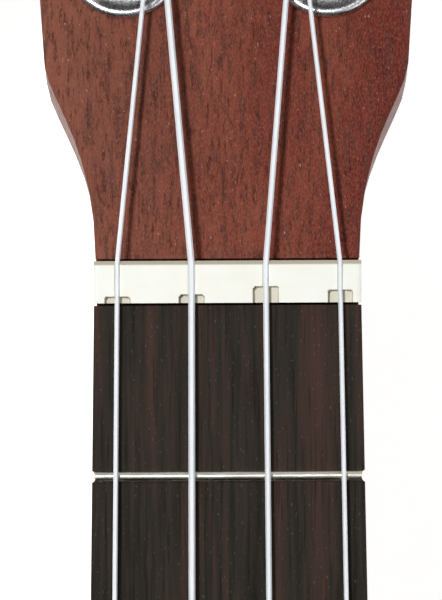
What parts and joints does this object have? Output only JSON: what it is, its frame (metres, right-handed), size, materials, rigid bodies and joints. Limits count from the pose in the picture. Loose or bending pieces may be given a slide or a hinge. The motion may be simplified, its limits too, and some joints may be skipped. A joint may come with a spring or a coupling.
{
  "type": "concert ukulele",
  "caption": "Concert ukulele with a figure-eight hollow body, round soundhole, angled head, compensated nut and open-geared worm tuning machines.",
  "frame": {"origin": "under the middle of its length, on the flat back that it lies on", "axes": "+Y along the neck towards the head, +Z out of the soundboard, bass side at -X"},
  "size_m": [0.193, 0.5916, 0.074],
  "materials": {
    "body_mahogany": "satin",
    "neck_mahogany": "satin",
    "inner_wood": "matte",
    "fingerboard_wood": "satin",
    "bridge_wood": "satin",
    "cream_bone": "satin",
    "fret_metal": "polished",
    "string_nylon": "gloss",
    "knob_plastic": "gloss",
    "bright_chrome": "polished",
    "machine_chrome": "polished"
  },
  "bodies": {
    "instrument": {"back": "body_mahogany", "back_brace_lower": "inner_wood", "back_brace_upper": "inner_wood", "bridge": "bridge_wood", "bridge_plate": "inner_wood", "bushing_a": "bright_chrome", "bushing_c": "bright_chrome", "bushing_e": "bright_chrome", "bushing_g": "bright_chrome", "fingerboard": "fingerboard_wood", "fret_01": "fret_metal", "fret_02": "fret_metal", "fret_03": "fret_metal", "fret_04": "fret_metal", "fret_05": "fret_metal", "fret_06": "fret_metal", "fret_07": "fret_metal", "fret_08": "fret_metal", "fret_09": "fret_metal", "fret_10": "fret_metal", "fret_11": "fret_metal", "fret_12": "fret_metal", "fret_13": "fret_metal", "fret_14": "fret_metal", "fret_15": "fret_metal", "fret_16": "fret_metal", "lining_back_bass": "inner_wood", "lining_back_treble": "inner_wood", "lining_top_bass": "inner_wood", "lining_top_treble": "inner_wood", "neck": "neck_mahogany", "neck_block": "inner_wood", "nut": "cream_bone", "plate_a": "machine_chrome", "plate_c": "machine_chrome", "plate_e": "machine_chrome", "plate_g": "machine_chrome", "saddle": "cream_bone", "side_bass": "body_mahogany", "side_treble": "body_mahogany", "soundboard": "body_mahogany", "string_a": "string_nylon", "string_c": "string_nylon", "string_e": "string_nylon", "string_g": "string_nylon", "tail_block": "inner_wood", "top_brace_lower": "inner_wood", "top_brace_upper": "inner_wood", "washer_a": "bright_chrome", "washer_c": "bright_chrome", "washer_e": "bright_chrome", "washer_g": "bright_chrome"},
    "post_g": {"post_g": "machine_chrome"},
    "knob_g": {"knob_g": "knob_plastic"},
    "post_c": {"post_c": "machine_chrome"},
    "knob_c": {"knob_c": "knob_plastic"},
    "post_e": {"post_e": "machine_chrome"},
    "knob_e": {"knob_e": "knob_plastic"},
    "post_a": {"post_a": "machine_chrome"},
    "knob_a": {"knob_a": "knob_plastic"}
  },
  "joints": [
    {"name": "knob_turn_g", "type": "hinge", "parent": "instrument", "child": "knob_g", "pos_m": [-0.01275, 0.24278, 0.03718], "axis": [1, 0, 0], "continuous": true},
    {"name": "post_turn_g", "type": "hinge", "parent": "instrument", "child": "post_g", "pos_m": [-0.01275, 0.23822, 0.05708], "axis": [0, 0.2079, 0.9781], "continuous": true, "deforming": ["string_g"]},
    {"name": "knob_turn_c", "type": "hinge", "parent": "instrument", "child": "knob_c", "pos_m": [-0.01395, 0.27799, 0.02969], "axis": [1, 0, 0], "continuous": true},
    {"name": "post_turn_c", "type": "hinge", "parent": "instrument", "child": "post_c", "pos_m": [-0.01395, 0.27343, 0.04959], "axis": [0, 0.2079, 0.9781], "continuous": true, "deforming": ["string_c"]},
    {"name": "knob_turn_e", "type": "hinge", "parent": "instrument", "child": "knob_e", "pos_m": [0.01395, 0.27799, 0.02969], "axis": [1, 0, 0], "continuous": true},
    {"name": "post_turn_e", "type": "hinge", "parent": "instrument", "child": "post_e", "pos_m": [0.01395, 0.27343, 0.04959], "axis": [0, 0.2079, 0.9781], "continuous": true, "deforming": ["string_e"]},
    {"name": "knob_turn_a", "type": "hinge", "parent": "instrument", "child": "knob_a", "pos_m": [0.01275, 0.24278, 0.03718], "axis": [1, 0, 0], "continuous": true},
    {"name": "post_turn_a", "type": "hinge", "parent": "instrument", "child": "post_a", "pos_m": [0.01275, 0.23822, 0.05708], "axis": [0, 0.2079, 0.9781], "continuous": true, "deforming": ["string_a"]}
  ],
  "couplings": [
    {"joint": "post_turn_g", "follows": "knob_turn_g", "ratio": -0.071429},
    {"joint": "post_turn_c", "follows": "knob_turn_c", "ratio": -0.071429},
    {"joint": "post_turn_e", "follows": "knob_turn_e", "ratio": 0.071429},
    {"joint": "post_turn_a", "follows": "knob_turn_a", "ratio": 0.071429}
  ]
}
